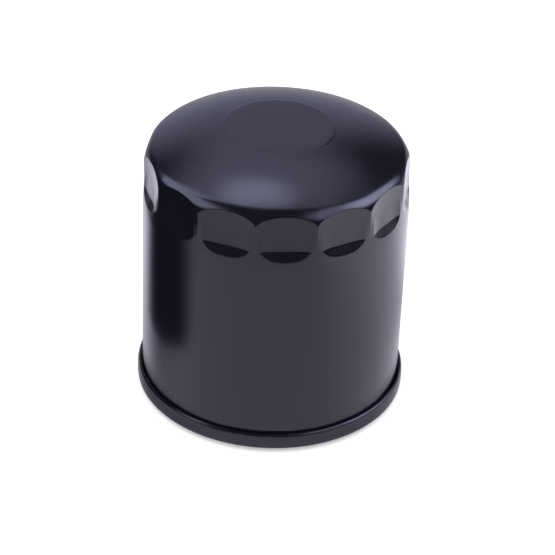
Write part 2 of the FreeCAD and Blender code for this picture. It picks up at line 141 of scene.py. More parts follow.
LIP_RADIUS = node_radius("anti_drain_valve")
VALVE_TOP = node_top("anti_drain_valve")
VALVE_HOLE = 10.2
SLEEVE_RADIUS = 14.6
SLEEVE_DEPTH = 4.6

ELEMENT_BOTTOM = node_bottom("lower_end_cap")
ELEMENT_TOP = node_top("upper_end_cap")
CAP_RADIUS = node_radius("upper_end_cap")
CAP_STEEL = 0.6
CAP_RIM = 4.6
LOWER_CAP_HOLE = 10.6
UPPER_CAP_HOLE = 12.0
TUBE_RADIUS = node_radius("centre_tube")
PLEATS = 44
PLEAT_RADII = (15.5, 30.6)
FOLD_HALF_WIDTH = 0.75
FOLD_ROUNDING = 0.42
PAPER = 0.6
FLAP_GAP = 0.16
CLIP_TURN = math.radians(77.0)
POTTING_SAG = 0.25

# Coil radius, wire radius and turns.
ELEMENT_COIL = (12.6, 0.95, 5)
BYPASS_COIL = (5.2, 0.55, 6)
HOUSING_STEEL = 0.5

ROUND_SEGMENTS = 192


# ---------------------------------------------------------------- mesh helpers


def add_mesh(name, points, faces, finishes, face_finish=None, sharp=None):
    """A mesh object from points in millimetres. face_finish gives each face's material number."""
    mesh = bpy.data.meshes.new(name)
    mesh.from_pydata((np.asarray(points) * MM).tolist(), [], faces)
    for finish in finishes:
        mesh.materials.append(finish)
    if face_finish is not None:
        mesh.polygons.foreach_set("material_index", np.asarray(face_finish, dtype=np.int32))
    mesh.shade_smooth()
    if sharp is not None:
        mesh.set_sharp_from_angle(angle=math.radians(sharp))
    mesh.update()
    thing = bpy.data.objects.new(name, mesh)
    bpy.context.scene.collection.objects.link(thing)
    return thing


def stand_for(thing, node, body=None):
    """Show the piece instead of the CAD node, riding on the body if one is given."""
    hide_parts(node)
    if body:
        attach(thing, body)
    return thing


def toward(point, other, reach):
    """The place at that reach from a point on the way to another, short of the way's middle."""
    way = other - point
    span = np.linalg.norm(way)
    return point + way / span * min(reach, span * 0.45)


def rounded(outline, reach, steps=4, closed=True):
    """The outline with each corner eased by a curve that starts and ends up to reach from it."""
    outline = [np.asarray(point, dtype=float) for point in outline]
    reaches = reach if isinstance(reach, (list, tuple)) else [reach] * len(outline)
    eased = []
    for number, point in enumerate(outline):
        ends = number in (0, len(outline) - 1) and not closed
        if ends or reaches[number] == 0:
            eased.append(point)
            continue
        start, finish = [toward(point, other, reaches[number])
                         for other in (outline[number - 1], outline[(number + 1) % len(outline)])]
        for share in np.linspace(0, 1, steps + 1):
            eased.append((1 - share) ** 2 * start + 2 * share * (1 - share) * point + share**2 * finish)
    return eased


def ring_quad(column, columns, row, rows):
    """One quad of a grid that closes both round its columns and along its rows."""
    here = column * rows
    beside = (column + 1) % columns * rows
    above = (row + 1) % rows
    return here + row, beside + row, beside + above, here + above


def tube_faces(rings, sides):
    """Quads between rings that follow one another, each a loop of so many points."""
    faces = []
    for ring in range(rings - 1):
        for side in range(sides):
            a, b = ring * sides + side, ring * sides + (side + 1) % sides
            faces.append((a, b, b + sides, a + sides))
    return faces


def turned(profile, angle):
    """Points of a (radius, height) profile, turned to an angle round the Z axis."""
    return [(radius * math.cos(angle), radius * math.sin(angle), height) for radius, height in profile]


def lathe(name, outline, finishes, sharp=None, segments=ROUND_SEGMENTS):
    """Turn a closed outline of (radius, height) points once round the Z axis."""
    outline = np.asarray(outline)
    rows = len(outline)
    points = []
    for angle in np.arange(segments) * TURN / segments:
        points += turned(outline, angle)
    faces = [ring_quad(column, segments, row, rows) for column in range(segments) for row in range(rows)]
    return add_mesh(name, points, faces, finishes, None, sharp)


def soften(thing, name, width, angle):
    """Bevel the edges that turn by more than the angle, in degrees."""
    bevel = thing.modifiers.new(name, "BEVEL")
    bevel.width = width * MM
    bevel.segments = 2
    bevel.limit_method = "ANGLE"
    bevel.angle_limit = math.radians(angle)


def arc(start, finish, radius, count):
    """Points from start to finish on an arc that bulges to the right of the way between them."""
    start, finish = np.asarray(start, dtype=float), np.asarray(finish, dtype=float)
    chord = finish - start
    half = np.linalg.norm(chord) / 2
    left = np.array([-chord[1], chord[0]]) / (2 * half)
    centre = (start + finish) / 2 + left * math.sqrt(radius**2 - half**2)
    first = math.atan2(*(start - centre)[::-1])
    last = math.atan2(*(finish - centre)[::-1])
    return [centre + radius * np.array([math.cos(a), math.sin(a)]) for a in np.linspace(first, last, count)]


# ---------------------------------------------------------------- node helpers


class Nodes:
    """Short calls that add shader nodes to a material or to the world."""

    def __init__(self, owner):
        owner.use_nodes = True
        self.tree = owner.node_tree
        self.tree.nodes.clear()

    def add(self, kind, **settings):
        node = self.tree.nodes.new(kind)
        for key, value in settings.items():
            setattr(node, key, value)
        return node

    def link(self, source, target):
        if isinstance(source, (int, float, tuple)):
            target.default_value = source
        else:
            self.tree.links.new(source, target)

    def math(self, operation, *values):
        node = self.add("ShaderNodeMath", operation=operation)
        for number, value in enumerate(values):
            self.link(value, node.inputs[number])
        return node.outputs[0]

    def product(self, *values):
        result = values[0]
        for value in values[1:]:
            result = self.math("MULTIPLY", result, value)
        return result

    def sum(self, *values):
        result = values[0]
        for value in values[1:]:
            result = self.math("ADD", result, value)
        return result

    def without(self, share):
        return self.math("SUBTRACT", 1.0, share)

    def axes(self, vector):
        """The X, Y and Z of a vector."""
        node = self.add("ShaderNodeSeparateXYZ")
        self.link(vector, node.inputs[0])
        return [node.outputs[axis] for axis in "XYZ"]

    def blended(self, share, first, second):
        """A shader mixed from first to second as share goes from 0 to 1."""
        node = self.add("ShaderNodeMixShader")
        for number, value in enumerate((share, first.outputs[0], second.outputs[0])):
            self.link(value, node.inputs[number])
        return node

    def glow(self, kind, colour, strength):
        """An emission or a background of that colour and strength."""
        node = self.add(kind)
        self.link(colour, node.inputs["Color"])
        self.link(strength, node.inputs["Strength"])
        return node

    def dot(self, vector, way):
        node = self.add("ShaderNodeVectorMath", operation="DOT_PRODUCT")
        self.link(vector, node.inputs[0])
        self.link(way, node.inputs[1])
        return node.outputs["Value"]

    def step(self, value, low, high):
        """Rises smoothly from 0 at low to 1 at high; low may be the larger."""
        node = self.add("ShaderNodeMapRange", interpolation_type="SMOOTHSTEP")
        self.link(value, node.inputs["Value"])
        for key, number in (("From Min", low), ("From Max", high), ("To Min", 0.0), ("To Max", 1.0)):
            node.inputs[key].default_value = number
        return node.outputs["Result"]

    def mix(self, share, first, second):
        """Colour mixed from first to second as share goes from 0 to 1."""
        node = self.add("ShaderNodeMix", data_type="RGBA")
        self.link(share, node.inputs[0])
        self.link(first, node.inputs[6])
        self.link(second, node.inputs[7])
        return node.outputs[2]

    def noise(self, place, scale, detail=2.0, roughness=0.5):
        node = self.add("ShaderNodeTexNoise")
        self.link(place, node.inputs["Vector"])
        node.inputs["Scale"].default_value = scale
        node.inputs["Detail"].default_value = detail
        node.inputs["Roughness"].default_value = roughness
        return node.outputs["Fac"]

    def stretch(self, place, scale):
        node = self.add("ShaderNodeMapping")
        self.link(place, node.inputs["Vector"])
        node.inputs["Scale"].default_value = scale
        return node.outputs["Vector"]

    def place(self):
        return self.add("ShaderNodeTexCoord").outputs["Object"]

    def bump(self, height, distance, strength=1.0, under=None):
        node = self.add("ShaderNodeBump")
        self.link(height, node.inputs["Height"])
        node.inputs["Distance"].default_value = distance
        node.inputs["Strength"].default_value = strength
        if under is not None:
            self.link(under, node.inputs["Normal"])
        return node.outputs["Normal"]

    def surface(self, **values):
        shader = self.add("ShaderNodeBsdfPrincipled")
        for key, value in values.items():
            self.link(value, shader.inputs[key.replace("_", " ")])
        self.show(shader)

    def show(self, shader, kind="ShaderNodeOutputMaterial"):
        self.link(shader.outputs[0], self.add(kind).inputs["Surface"])


# ---------------------------------------------------------------- materials

ENAMEL = (0.0050, 0.0046, 0.0095, 1.0)
BARE = (0.16, 0.16, 0.18, 1.0)
SPECK_CELLS = 95.0
# In metres: lowest and highest chips, how softly they end, and how far from the middle they start.
CHIP_BAND = (0.0752, 0.0786)
CHIP_FADE = 0.0008
CHIP_SIDES = (0.020, 0.026)


def paint_material():
    """Black enamel: a little orange peel, a few specks of dust and small chips on the shoulder."""
    material = bpy.data.materials.new("black_enamel")
    n = Nodes(material)
    place = n.place()
    x, _, z = n.axes(place)
    cells = n.add("ShaderNodeTexVoronoi")
    n.link(place, cells.inputs["Vector"])
    cells.inputs["Scale"].default_value = SPECK_CELLS
    chance = n.add("ShaderNodeSeparateColor")
    n.link(cells.outputs["Color"], chance.inputs[0])
    speck = n.product(n.step(cells.outputs["Distance"], 0.028, 0.016), n.step(chance.outputs[0], 0.74, 0.76))
    scratch = n.step(n.noise(n.stretch(place, (1.0, 1.0, 0.22)), 900.0, 3.0), 0.735, 0.76)
    low, high = CHIP_BAND
    band = n.product(n.step(z, low, low + CHIP_FADE), n.step(z, high, high - CHIP_FADE))
    chip = n.product(scratch, band, n.step(n.math("ABSOLUTE", x), *CHIP_SIDES))
    mark = n.math("MAXIMUM", speck, chip)
    wave = n.bump(n.noise(place, 95.0, 1.0), 0.00006, 0.5)
    n.surface(
        Base_Color=n.mix(mark, ENAMEL, BARE),
        Roughness=n.sum(n.product(n.noise(place, 60.0, 4.0), 0.06), 0.16, n.product(mark, 0.3)),
        IOR=1.5,
        Normal=n.bump(n.noise(place, 520.0, 1.0), 0.00001, 0.6, wave),
    )
    return material


def metal_material(name, light, dark, roughness, grain=(1.0, 1.0, 1.0), grain_scale=700.0):
    """Bare or plated steel: cloudy tone, a directional grain, and roughness that varies with both."""
    material = bpy.data.materials.new(name)
    n = Nodes(material)
    place = n.place()
    cloud = n.noise(place, 140.0, 5.0, 0.6)
    lines = n.noise(n.stretch(place, grain), grain_scale, 2.0)
    n.surface(
        Base_Color=n.mix(n.step(cloud, 0.35, 0.7), (*dark, 1.0), (*light, 1.0)),
        Metallic=1.0,
        Roughness=n.sum(roughness, n.product(n.math("SUBTRACT", cloud, 0.5), 0.25)),
        Normal=n.bump(lines, 0.00001, 0.6),
    )
    return material


def rubber_material(name, light, dark, roughness):
    """Moulded rubber: fine matt texture with paler dusty patches."""
    material = bpy.data.materials.new(name)
    n = Nodes(material)
    place = n.place()
    cloud = n.noise(place, 110.0, 4.0, 0.65)
    n.surface(
        Base_Color=n.mix(n.step(cloud, 0.4, 0.75), (*dark, 1.0), (*light, 1.0)),
        Roughness=n.sum(roughness, n.product(cloud, 0.15)),
        IOR=1.45,
        Normal=n.bump(n.noise(place, 2200.0, 2.0), 0.00002, 0.5),
    )
    return material


def paper_material():
    """Resin-treated filter paper: fibres along and across, and slightly uneven tone."""
    material = bpy.data.materials.new("pleated_paper")
    n = Nodes(material)
    place = n.place()
    fibre = n.noise(n.stretch(place, (1.0, 1.0, 3.0)), 1500.0, 4.0, 0.7)
    tone = n.noise(place, 90.0, 3.0)
    share = n.sum(n.product(fibre, 0.6), n.product(tone, 0.4))
    n.surface(
        Base_Color=n.mix(n.step(share, 0.3, 0.7), (0.52, 0.36, 0.17, 1.0), (0.74, 0.58, 0.34, 1.0)),
        Roughness=0.85,
        IOR=1.35,
        Normal=n.bump(fibre, 0.00008, 0.6),
    )
    return material


PAINT = paint_material()
ZINC = metal_material("zinc_plating", (0.66, 0.67, 0.66), (0.50, 0.51, 0.50), 0.27)
TIN = metal_material("tin_plating", (0.72, 0.72, 0.71), (0.58, 0.58, 0.57), 0.30, (1.0, 1.0, 6.0))
SPRING_STEEL = metal_material("spring_wire", (0.36, 0.36, 0.37), (0.22, 0.22, 0.23), 0.30)
NITRILE = rubber_material("nitrile", (0.030, 0.030, 0.032), (0.014, 0.014, 0.015), 0.50)
SILICONE = rubber_material("silicone", (0.50, 0.10, 0.045), (0.38, 0.055, 0.022), 0.42)
PLASTISOL = rubber_material("plastisol_glue", (0.62, 0.16, 0.09), (0.46, 0.09, 0.04), 0.35)
COMPOUND = rubber_material("sealing_compound", (0.24, 0.23, 0.20), (0.15, 0.14, 0.12), 0.55)
PAPER_FINISH = paper_material()


# ---------------------------------------------------------------- can


def gentle(share):
    """A share from 0 to 1 that starts and ends gently."""
    return share * share * (3 - 2 * share)


def smooth_min(first, second, blend):
    """The smaller of two lengths, eased where they are close to each other."""
    share = np.clip(0.5 + 0.5 * (second - first) / blend, 0, 1)
    return second + (first - second) * share - blend * share * (1 - share)


def can_column(angle, inset):
    """The can's profile at one angle from the middle of a flute, from the flange's wall to the centre
    of the disc. inset is how far inside the paint it lies."""
    across = math.tan(angle) / math.tan(math.pi / FLUTES)
    plane = smooth_min(FLUTE_FLAT / math.cos(angle), FLUTE_FLAT / math.cos(TURN / FLUTES - abs(angle)),
                       RIDGE_ROUNDING) - FLUTE_HOLLOW * (1 - across**2)
    # Beside the ridges the flat leans out to the wall. Between them it ends in a short ramp, down
    # to where that meets the wall, which narrows a little up to the ridges.
    runout_bottom, runout_top = FLUTE_RUNOUT
    taper_bottom, taper_top = TAPER
    foot = RIDGE_RADIUS - RUNOUT_DEPTH * max(0.0, 1 - abs(across / RUNOUT_SHARE) ** 3)
    ramp = (BODY_RADIUS + RUNOUT_LIP - FLUTE_FLAT) / (runout_top - runout_bottom)
    taper = (RIDGE_RADIUS - BODY_RADIUS) / (taper_top - taper_bottom)
    meet = (foot + runout_top * ramp - BODY_RADIUS + taper_bottom * taper) / (ramp + taper)
    meet = min(meet, runout_top - 0.1)
    meet_radius = BODY_RADIUS + (meet - taper_bottom) * taper
    arc_centre = (RIDGE_RADIUS - SHOULDER_ARC, WALL_TOP)
    flute_top = arc_centre[1] + math.sqrt(SHOULDER_ARC**2 - (plane - arc_centre[0]) ** 2)
    body = BODY_RADIUS - inset
    plane -= inset
    top = CAN_TOP - inset
    crest = (SHOULDER[0] - inset / 2, SHOULDER[1] - inset)
    wall = [(body, height) for height in np.linspace(CAN_BOTTOM + STEEL, taper_bottom - 1.5, 18)]
    flute = [(body, taper_bottom), (meet_radius - inset, meet), (foot - inset, runout_top)]
    flute += [(plane, runout_top + FLUTE_LEAN), (plane, flute_top - inset)]
    cap = arc((plane, flute_top - inset), crest, SHOULDER_ARC, 14)[1:]
    cap += arc(crest, (DISC_RADIUS + DISC_STEP_WIDTH, top - DISC_STEP), DOME_ARC, 22)[1:]
    cap += [(DISC_RADIUS + DISC_STEP_WIDTH * (1 - share), top - DISC_STEP * (1 - gentle(share)))
            for share in np.linspace(0, 1, 7)[1:]]
    cap += [(radius, top) for radius in np.linspace(DISC_RADIUS, 0, 9)[1:-1]]
    reaches = [0] * len(wall) + [1.2, 0.45, 0.45, 2.0, 0.16] + [0] * len(cap)
    return rounded(wall + flute + cap, reaches, 5, closed=False)


def make_can():
    """One closed shell: hooked flange, outside from the flange up to the disc, then the hollow."""
    hook_outside = SEAM_RADIUS - LID_STEEL - HOOK_GAP
    hook_top = SEAM_TOP - HOOK_DROP
    hook = [
        (BODY_RADIUS - STEEL, CAN_BOTTOM),
        (hook_outside, CAN_BOTTOM),
        (hook_outside, hook_top),
        (hook_outside - HOOK_RIM, hook_top),
        (hook_outside - HOOK_RIM, CAN_BOTTOM + STEEL),
    ]
    points = []
    columns = FLUTES * FLUTE_COLUMNS
    for column in range(columns):
        share = (column % FLUTE_COLUMNS + 0.5) / FLUTE_COLUMNS - 0.5
        # Columns crowd towards the ridges, where the wall turns fastest.
        spread = math.sin(share * math.pi) / 2 * COLUMN_CROWDING + share * (1 - COLUMN_CROWDING)
        local = spread * TURN / FLUTES
        outside = hook + can_column(local, 0)
        path = outside + can_column(local, STEEL)[::-1]
        points += turned(path, (column // FLUTE_COLUMNS) * TURN / FLUTES + local + FLUTE_TURN)
    rows, split = len(path), len(outside)
    faces = []
    marks = []
    for column in range(columns):
        for row in range(rows):
            if row != split - 1:
                faces.append(ring_quad(column, columns, row, rows))
                marks.append(1 if row >= split else 0)
    for height, row, mark in ((CAN_TOP, split - 1, 0), (CAN_TOP - STEEL, split, 1)):
        points.append((0, 0, height))
        hub = len(points) - 1
        for column in range(columns):
            here = column * rows + row
            beside = (column + 1) % columns * rows + row
            faces.append((here, beside, hub) if mark == 0 else (beside, here, hub))
            marks.append(mark)
    can = add_mesh("can_shell", points, faces, [PAINT, TIN], marks)
    return stand_for(can, "can", "housing")


# ---------------------------------------------------------------- closed end of the housing


def make_seaming_lid():
    """The ring of sheet steel rolled round the can's flange, with the groove for the gasket."""
    floor_top = GROOVE_FLOOR + LID_STEEL
    inner_lip, groove_outer = GROOVE_RADII
    lip_bottom = SEAM_BOTTOM + GROOVE_LIP
    wall_foot = BODY_RADIUS - 1.0
    fold_top = SEAM_TOP - 1.2
    outline = rounded([(inner_lip - LID_STEEL, lip_bottom), (inner_lip, lip_bottom)], 0.15, 3, closed=False)
    outline += rounded([
        (inner_lip, lip_bottom),
        (inner_lip, GROOVE_FLOOR),
        (groove_outer, GROOVE_FLOOR),
        (wall_foot - 0.3, SEAM_BOTTOM + 0.5),
        (wall_foot + 0.5, SEAM_BOTTOM),
        (SEAM_RADIUS - 0.1, SEAM_BOTTOM),
        (SEAM_RADIUS, SEAM_BOTTOM + 0.8),
        (SEAM_RADIUS, SEAM_FACE_TOP),
    ], [0, 0.3, 0.3, 0.8, 0.6, 0.55, 0.3, 0], 5, closed=False)[1:-1]
    outline += [(SEAM_CREST + (SEAM_RADIUS - SEAM_CREST) * math.cos(angle),
                 SEAM_FACE_TOP + (SEAM_TOP - SEAM_FACE_TOP) * math.sin(angle))
                for angle in np.linspace(0, math.pi / 2, 9)]
    outline += [
        (SEAM_CREST - 0.25, SEAM_TOP - 0.06),
        (BODY_RADIUS + 0.2, SEAM_TOP - 0.45),
        (BODY_RADIUS + 0.05, SEAM_TOP - 1.0),
        (BODY_RADIUS + 0.05, fold_top),
        (SEAM_RADIUS - LID_STEEL, fold_top),
        (SEAM_RADIUS - LID_STEEL, SEAM_BOTTOM + LID_STEEL),
        (wall_foot + 0.2, SEAM_BOTTOM + LID_STEEL),
        (groove_outer + LID_STEEL, floor_top),
        (inner_lip - LID_STEEL, floor_top),
    ]
    rows = len(outline)
    points = []
    for step in range(LID_SEGMENTS):
        angle = step * TURN / LID_SEGMENTS
        drop = SEAM_WEAR + sum(size * math.sin(waves * angle + phase) for size, waves, phase in SEAM_WAVES)
        profile = []
        for radius, height in outline:
            share = np.clip((height - SEAM_FACE_TOP) / (SEAM_TOP - SEAM_FACE_TOP), 0, 1)
            share *= np.clip((radius - BODY_RADIUS - 0.1) / 0.6, 0, 1)
            profile.append((radius, height - drop * share))
        points += turned(profile, angle)
    faces = [ring_quad(column, LID_SEGMENTS, row, rows)
             for column in range(LID_SEGMENTS) for row in range(rows)]
    lid = add_mesh("rolled_seam_lid", points, faces, [PAINT], None, 60)
    return stand_for(lid, "seaming_lid", "housing")


def make_seam_sealant():
    low, high = node_box("seam_sealant")
    inner = BODY_RADIUS - STEEL
    outline = [(inner, low[2]), (high[0], low[2]), (high[0], high[2]), (inner, high[2])]
    ring = lathe("sealing_ring", rounded(outline, 0.05, 2), [COMPOUND])
    return stand_for(ring, "seam_sealant", "housing")


def make_outer_gasket():
    """The square-cut ring: flat sealing face with eased corners, seated in the lid's groove."""
    inner, outer = GASKET_RADII
    corners = [(inner, 0), (outer, 0), (outer, GROOVE_FLOOR), (inner, GROOVE_FLOOR)]
    outline = rounded(corners, GASKET_CORNERS, 6)
    gasket = lathe("gasket_ring", outline, [NITRILE], None, 256)
    return stand_for(gasket, "outer_gasket", "housing")


def thread_ridge(root, crest, bottom, top, pitch):
    """A right-handed V-shaped ridge that winds up the bore, tapering to nothing at both ends."""
    turns = (top - bottom - pitch) / pitch
    count = int(turns * THREAD_STEPS)
    half, flat = pitch * 0.46, pitch * 0.10
    points = []
    for step in range(count + 1):
        share = step / count
        fade = min(1.0, share * turns * 2, (1 - share) * turns * 2)
        middle = bottom + pitch / 2 + turns * pitch * share
        tip = root - (root - crest) * fade
        section = [(root + 0.3, middle - half), (root, middle - half), (tip, middle - flat),
                   (tip, middle + flat), (root, middle + half), (root + 0.3, middle + half)]
        points += turned(section, turns * share * TURN)
    size = len(section)
    faces = tube_faces(count + 1, size)
    faces.append(tuple(range(size))[::-1])
    faces.append(tuple(range(count * size, (count + 1) * size)))
    return points, faces


def make_tapping_plate():
    """The thick plate with its drawn collar, inlet holes and the 3/4-16 thread for the nipple."""
    top = PLATE_BOTTOM + PLATE
    sharp = 35
    outline = rounded([
        (THREAD_MOUTH, PLATE_BOTTOM),
        (PLATE_RADIUS, PLATE_BOTTOM),
        (PLATE_RADIUS, top),
        (COLLAR_RADIUS + 1.0, top),
        (COLLAR_RADIUS, top + 1.0),
        (COLLAR_RADIUS, COLLAR_TOP),
        (THREAD_MAJOR, COLLAR_TOP),
        (THREAD_MAJOR, PLATE_BOTTOM + 0.7),
    ], [0.3, 0.4, 0.4, 0.8, 0.8, 0.4, 0.2, 0.2], 4)
    plate = lathe("threaded_plate", outline, [ZINC], sharp)
    cutters = []
    for number in range(INLETS):
        centre = turned([(INLET_PITCH_RADIUS, PLATE_BOTTOM + PLATE / 2)], number * TURN / INLETS)[0]
        bpy.ops.mesh.primitive_cylinder_add(vertices=48, radius=INLET_RADIUS * MM, depth=PLATE * 2 * MM,
                                            location=Vector(centre) * MM)
        cutters.append(bpy.context.object)
        cut = plate.modifiers.new("inlet", "BOOLEAN")
        cut.object = cutters[-1]
        cut.solver = "EXACT"
        cut.operation = "DIFFERENCE"
    evaluated = plate.evaluated_get(bpy.context.evaluated_depsgraph_get())
    drilled = bpy.data.meshes.new_from_object(evaluated)
    plate.modifiers.clear()
    plate.data = drilled
    for cutter in cutters:
        bpy.data.objects.remove(cutter, do_unlink=True)
    drilled.shade_smooth()
    drilled.set_sharp_from_angle(angle=math.radians(sharp))
    soften(plate, "hole_edges", 0.25, 60)
    stand_for(plate, "tapping_plate", "housing")
    points, faces = thread_ridge(THREAD_MAJOR, THREAD_MINOR, PLATE_BOTTOM + 0.4, COLLAR_TOP - 0.1,
                                 THREAD_PITCH)
    thread = add_mesh("nipple_thread", points, faces, [ZINC], None, 30)
    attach(thread, "housing")


def make_anti_drain_valve():
    """The silicone diaphragm: flange on the collar, and a cone whose lip lies on the plate."""
    plate_top = PLATE_BOTTOM + PLATE
    sleeve = COLLAR_RADIUS + 0.05
    outline = rounded([
        (VALVE_HOLE, COLLAR_TOP),
        (sleeve, COLLAR_TOP),
        (sleeve, COLLAR_TOP - SLEEVE_DEPTH),
        (SLEEVE_RADIUS - 0.4, COLLAR_TOP - SLEEVE_DEPTH),
        (SLEEVE_RADIUS + 0.6, COLLAR_TOP - 2.6),
        (20.5, COLLAR_TOP - 4.95),
        (LIP_RADIUS - 1.9, plate_top + 0.7),
        (LIP_RADIUS - 0.9, plate_top),
        (LIP_RADIUS, plate_top),
        (LIP_RADIUS - 0.5, plate_top + 1.5),
        (21.3, COLLAR_TOP - 3.5),
        (SLEEVE_RADIUS + 0.9, COLLAR_TOP - 0.8),
        (SLEEVE_RADIUS, VALVE_TOP),
        (VALVE_HOLE, VALVE_TOP),
    ], [0.1, 0.1, 0.3, 0.4, 0.6, 3.0, 0.5, 0.2, 0.2, 0.6, 3.0, 1.2, 0.3, 0.2], 5)
    valve = lathe("diaphragm_valve", outline, [SILICONE])
    stand_for(valve, "anti_drain_valve")
    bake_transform(valve)


# ---------------------------------------------------------------- filter element


def make_end_cap(name, node, hole, face, rim_way):
    """A stamped pan. face is the height of its outer face, and rim_way the way its rim points."""
    inside = CAP_RADIUS - CAP_STEEL
    back = face + rim_way * CAP_STEEL
    rim = face + rim_way * CAP_RIM
    outline = rounded([
        (hole, face), (CAP_RADIUS, face), (CAP_RADIUS, rim), (inside, rim), (inside, back), (hole, back),
    ], [0.2, 0.6, 0.2, 0.2, 0.4, 0.2], 4)
    if rim_way < 0:
        outline = outline[::-1]
    cap = lathe(name, outline, [TIN])
    return stand_for(cap, node, "element")


def make_potting(node, dip):
    """A ring of cured plastisol. Its free face, at dip's side, sinks a little between the walls."""
    inner, outer = TUBE_RADIUS, CAP_RADIUS - CAP_STEEL
    bottom, top = node_bottom(node), node_top(node)
    sag = [(outer + (inner - outer) * share, POTTING_SAG * math.sin(math.pi * share))
           for share in np.linspace(0, 1, 13)]
    if dip > 0:
        outline = [(inner, bottom), (outer, bottom)] + [(r, top - s) for r, s in sag]
    else:
        outline = [(outer, top), (inner, top)] + [(r, bottom + s) for r, s in sag[::-1]]
    ring = lathe(f"{node}_ring", outline, [PLASTISOL], 50)
    return stand_for(ring, node, "element")


def pleat_outline():
    """Both faces of the folded paper seen from above, as one closed loop with rounded folds."""
    inner, outer = PLEAT_RADII
    step = TURN / PLEATS
    flap = (PAPER + FLAP_GAP) / 2
    corners = [(outer, flap)]
    for fold in range(1, 2 * PLEATS):
        radius = inner if fold % 2 else outer
        half = radius * step / 4 if fold % 2 else FOLD_HALF_WIDTH
        out = np.array([math.cos(fold * step / 2), math.sin(fold * step / 2)])
        across = np.array([-out[1], out[0]])
        corners += [out * radius - across * half, out * radius + across * half]
    corners.append((outer, -flap))
    line = np.array(rounded(corners, FOLD_ROUNDING, 3, closed=False))
    way = np.gradient(line, axis=0)
    way /= np.linalg.norm(way, axis=1)[:, None]
    left = np.stack([-way[:, 1], way[:, 0]], axis=1)
    return np.concatenate([line + left * PAPER / 2, (line - left * PAPER / 2)[::-1]])


def make_filter_media():
    """The pleated strip, standing between the two pottings."""
    c, s = math.cos(CLIP_TURN), math.sin(CLIP_TURN)
    loop = pleat_outline() @ np.array([[c, s], [-s, c]])
    count = len(loop)
    levels = np.linspace(node_bottom("filter_media"), node_top("filter_media"), 13)
    points = [(x, y, z) for z in levels for x, y in loop]
    faces = tube_faces(len(levels), count)
    last = (len(levels) - 1) * count
    for side in range(count // 2 - 1):
        quad = (side, side + 1, count - 2 - side, count - 1 - side)
        faces += [quad, tuple(corner + last for corner in quad[::-1])]
    media = add_mesh("pleated_media", points, faces, [PAPER_FINISH], None, 60)
    return stand_for(media, "filter_media", "element")


# ---------------------------------------------------------------- springs


def coil(name, sizes, bottom, top):
    """A compression spring with closed end turns ground flat."""
    coil_radius, wire, turns = sizes
    low, high = bottom + wire * 0.35, top - wire * 0.35
    closed = 2 * wire * 1.06
    rise = (high - low - 2 * closed) / (turns - 2)
    per_turn, sides = 64, 16
    rings = turns * per_turn + 1
    points = []
    for ring in range(rings):
        turn = ring / per_turn
        height = low + closed * min(turn, 1) + rise * min(max(turn - 1, 0), turns - 2)
        height += closed * max(turn - (turns - 1), 0)
        wound = [(coil_radius + wire * math.cos(around), height + wire * math.sin(around))
                 for around in np.arange(sides) * TURN / sides]
        points += turned([(radius, min(max(z, bottom), top)) for radius, z in wound], turn * TURN)
    faces = [face[::-1] for face in tube_faces(rings, sides)]
    faces.append(tuple(range(sides)))
    faces.append(tuple(range((rings - 1) * sides, rings * sides))[::-1])
    return add_mesh(name, points, faces, [SPRING_STEEL], None, 45)


def make_springs():
    """Each spring is wound between the seat that holds it at one end and the piece that it presses at the
    other.
    """
    roof = min(node_top("element_spring"), CAN_TOP - STEEL)
    seat = max(node_bottom("element_spring"), node_top("bypass_seat"))
    floor = node_bottom("bypass_housing") + HOUSING_STEEL
    disc = node_bottom("bypass_disc")
    for name, node, sizes, held, moved, bodies in (
        ("element_coil", "element_spring", ELEMENT_COIL, roof, seat, ("housing", "element")),
        ("bypass_coil", "bypass_spring", BYPASS_COIL, floor, disc, ("element", "bypass_valve")),
    ):
        spring = coil(name, sizes, min(held, moved), max(held, moved))
        stand_for(spring, node)
        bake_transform(spring)


# ---------------------------------------------------------------- CAD pieces that keep their shape


def finish_cad_nodes():
    finishes = {
        "centre_tube": TIN,
        "media_clip": TIN,
        "bypass_housing": ZINC,
        "bypass_seat": ZINC,
        "bypass_disc": ZINC,
        "bypass_stem": ZINC,
        "bypass_seal": NITRILE,
    }
    for node, finish in finishes.items():
        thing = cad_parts[node]
        if not thing.material_slots:
            thing.data.materials.append(finish)
        for place in thing.material_slots:
            place.link = "OBJECT"
            place.material = finish
        soften(thing, "soft_edges", 0.08, 50)


# ---------------------------------------------------------------- stage, in metres

FLOOR_REACH = 40.0
# Colour of the floor's painted glow, which only polished paint sees.
PAINTED_GLOW_TINT = (0.93, 0.90, 1.07, 1.0)
FLOOR_PALE = ((0.95, 0.95, 0.955, 1.0), (0.96, 0.96, 0.965, 1.0))
CAMERA_GLOW = 0.30
# The painted glow on the floor, a painted reflection of lit floor that only polished paint sees: its
# strength is whole within the first radius and none past the second, and the floor beyond keeps a trace.
PAINTED_GLOW_REACH = (0.180, 0.290)
PAINTED_GLOW_MINIMUM = 0.012
# Places where the painted glow carries painted shade or painted light: darker beside the seam and to the
# right and left behind, brighter to the right and at the back. Each lists the spans over which the change
# comes in, as the glow's function below reads them, and then its size. A triple is the direction of the next
# span.
SEAM_SHADE = ((0.0475, 0.0435), (0.010, 0.045), 0.5)
RIGHT_GAIN = ((1.0, 0.8, 0.0), (-0.02, 0.03), 0.12)
FAR_RIGHT_GAIN = ((0.065, 0.15), 0.55)
BACK_GAIN = ((0.02, 0.07), 0.4)
RIGHT_BACK_SHADE = ((0.02, 0.05), (0.0, 0.06), (0.10, 0.06), 0.5)
LEFT_BACK_SHADE = ((1.0, 1.35, 0.0), (-0.036, -0.076), (-0.04, 0.0), (0.135, 0.105), 0.65)
FAR_BACK = ((0.06, 0.14), 0.6)

# Left, front, back and top of the black card, and how softly its front, back and foot begin.
FLAG = (-0.060, -0.049, 0.024, 0.078)
FLAG_FADES = (0.020, 0.022, 0.006)
FLAG_COLOUR = (0.004, 0.004, 0.005, 1.0)

